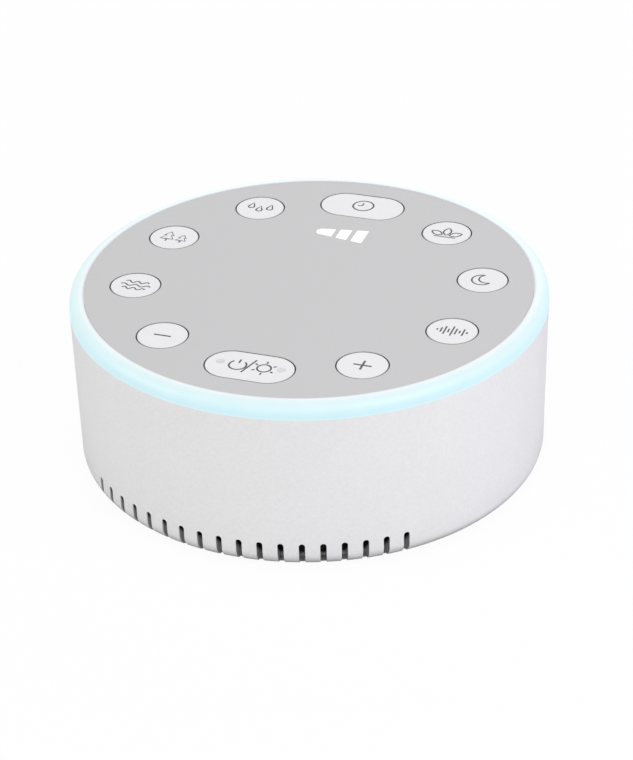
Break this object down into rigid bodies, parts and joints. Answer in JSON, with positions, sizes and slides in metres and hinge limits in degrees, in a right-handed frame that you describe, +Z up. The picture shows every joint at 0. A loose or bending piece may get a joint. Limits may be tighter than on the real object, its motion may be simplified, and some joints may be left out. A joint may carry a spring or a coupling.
{
  "type": "sound machine",
  "caption": "Low round bedside sound machine with flush push keys, a lit ring round the top edge, vent slots at the foot and a speaker that fires down.",
  "frame": {"origin": "centre of the foot ring, on the surface that it stands on", "axes": "+Z up, -Y to the front, where the vents and the power key are, +X to the right as seen from the front"},
  "size_m": [0.11, 0.11, 0.043],
  "materials": {
    "housing": "satin white, fine grain",
    "cover_plastic": "matt white, fine grain",
    "foot_rubber": "matt",
    "top_plate": "satin light grey",
    "light_ring": "translucent, lit cyan",
    "light_pipe": "translucent white",
    "key_cap": "satin white",
    "frame_plastic": "plain light grey",
    "dark_plastic": "plain black",
    "plunger_plastic": "plain ivory",
    "connector_plastic": "plain ivory",
    "circuit_board": "green solder mask",
    "led": "clear",
    "steel": "zinc plated",
    "can_metal": "plain",
    "magnet": "dark ferrite",
    "basket": "black paint",
    "foam": "closed-cell foam",
    "cone_paper": "pressed paper",
    "spider_cloth": "treated cloth",
    "coil_copper": "enamelled copper",
    "cell_sleeve": "shrink sleeve",
    "nickel": "nickel strip",
    "lead_red": "insulated wire",
    "lead_blue": "insulated wire"
  },
  "bodies": {
    "case": {"housing": "housing", "base_cover": "cover_plastic", "foot_ring": "foot_rubber", "base_screws": "steel", "top_plate": "top_plate", "light_ring": "light_ring", "level_light_pipe": "light_pipe", "main_board": "circuit_board", "switch_bodies": "dark_plastic", "ring_leds": "led", "level_leds": "led", "board_chips": "dark_plastic", "board_capacitors": "can_metal", "board_connectors": "connector_plastic", "clamp_screws": "steel", "inner_frame": "frame_plastic", "frame_seal": "foam", "speaker_basket": "basket", "speaker_washer": "steel", "speaker_magnet": "magnet", "speaker_yoke": "steel", "speaker_gasket": "foam", "speaker_surround": "foot_rubber", "speaker_spider": "spider_cloth", "speaker_terminals": "connector_plastic", "small_screws": "steel", "battery_cell": "cell_sleeve", "battery_tabs": "nickel", "battery_strap": "foam", "battery_pad": "foam", "power_board": "circuit_board", "usb_socket": "steel", "usb_tongue": "dark_plastic", "speaker_leads": "lead_red", "battery_leads": "lead_red", "power_leads": "lead_blue"},
    "power_key": {"key_power": "key_cap", "plunger_power": "plunger_plastic"},
    "plus_key": {"key_plus": "key_cap", "plunger_plus": "plunger_plastic"},
    "noise_key": {"key_noise": "key_cap", "plunger_noise": "plunger_plastic"},
    "calm_key": {"key_calm": "key_cap", "plunger_calm": "plunger_plastic"},
    "relax_key": {"key_relax": "key_cap", "plunger_relax": "plunger_plastic"},
    "timer_key": {"key_timer": "key_cap", "plunger_timer": "plunger_plastic"},
    "rain_key": {"key_rain": "key_cap", "plunger_rain": "plunger_plastic"},
    "forest_key": {"key_forest": "key_cap", "plunger_forest": "plunger_plastic"},
    "ocean_key": {"key_ocean": "key_cap", "plunger_ocean": "plunger_plastic"},
    "minus_key": {"key_minus": "key_cap", "plunger_minus": "plunger_plastic"},
    "cone": {"speaker_cone": "cone_paper", "dust_cap": "cone_paper", "voice_coil": "coil_copper"}
  },
  "joints": [
    {"name": "power_press", "type": "slide", "parent": "case", "child": "power_key", "axis": [0, 0, -1], "range_m": [0, 0.0008], "stiffness_N_per_m": 1800},
    {"name": "plus_press", "type": "slide", "parent": "case", "child": "plus_key", "axis": [0, 0, -1], "range_m": [0, 0.0008], "stiffness_N_per_m": 1800},
    {"name": "noise_press", "type": "slide", "parent": "case", "child": "noise_key", "axis": [0, 0, -1], "range_m": [0, 0.0008], "stiffness_N_per_m": 1800},
    {"name": "calm_press", "type": "slide", "parent": "case", "child": "calm_key", "axis": [0, 0, -1], "range_m": [0, 0.0008], "stiffness_N_per_m": 1800},
    {"name": "relax_press", "type": "slide", "parent": "case", "child": "relax_key", "axis": [0, 0, -1], "range_m": [0, 0.0008], "stiffness_N_per_m": 1800},
    {"name": "timer_press", "type": "slide", "parent": "case", "child": "timer_key", "axis": [0, 0, -1], "range_m": [0, 0.0008], "stiffness_N_per_m": 1800},
    {"name": "rain_press", "type": "slide", "parent": "case", "child": "rain_key", "axis": [0, 0, -1], "range_m": [0, 0.0008], "stiffness_N_per_m": 1800},
    {"name": "forest_press", "type": "slide", "parent": "case", "child": "forest_key", "axis": [0, 0, -1], "range_m": [0, 0.0008], "stiffness_N_per_m": 1800},
    {"name": "ocean_press", "type": "slide", "parent": "case", "child": "ocean_key", "axis": [0, 0, -1], "range_m": [0, 0.0008], "stiffness_N_per_m": 1800},
    {"name": "minus_press", "type": "slide", "parent": "case", "child": "minus_key", "axis": [0, 0, -1], "range_m": [0, 0.0008], "stiffness_N_per_m": 1800},
    {"name": "cone_stroke", "type": "slide", "parent": "case", "child": "cone", "axis": [0, 0, 1], "range_m": [-0.001, 0.001], "stiffness_N_per_m": 1500, "deforming": ["speaker_surround", "speaker_spider"]}
  ]
}
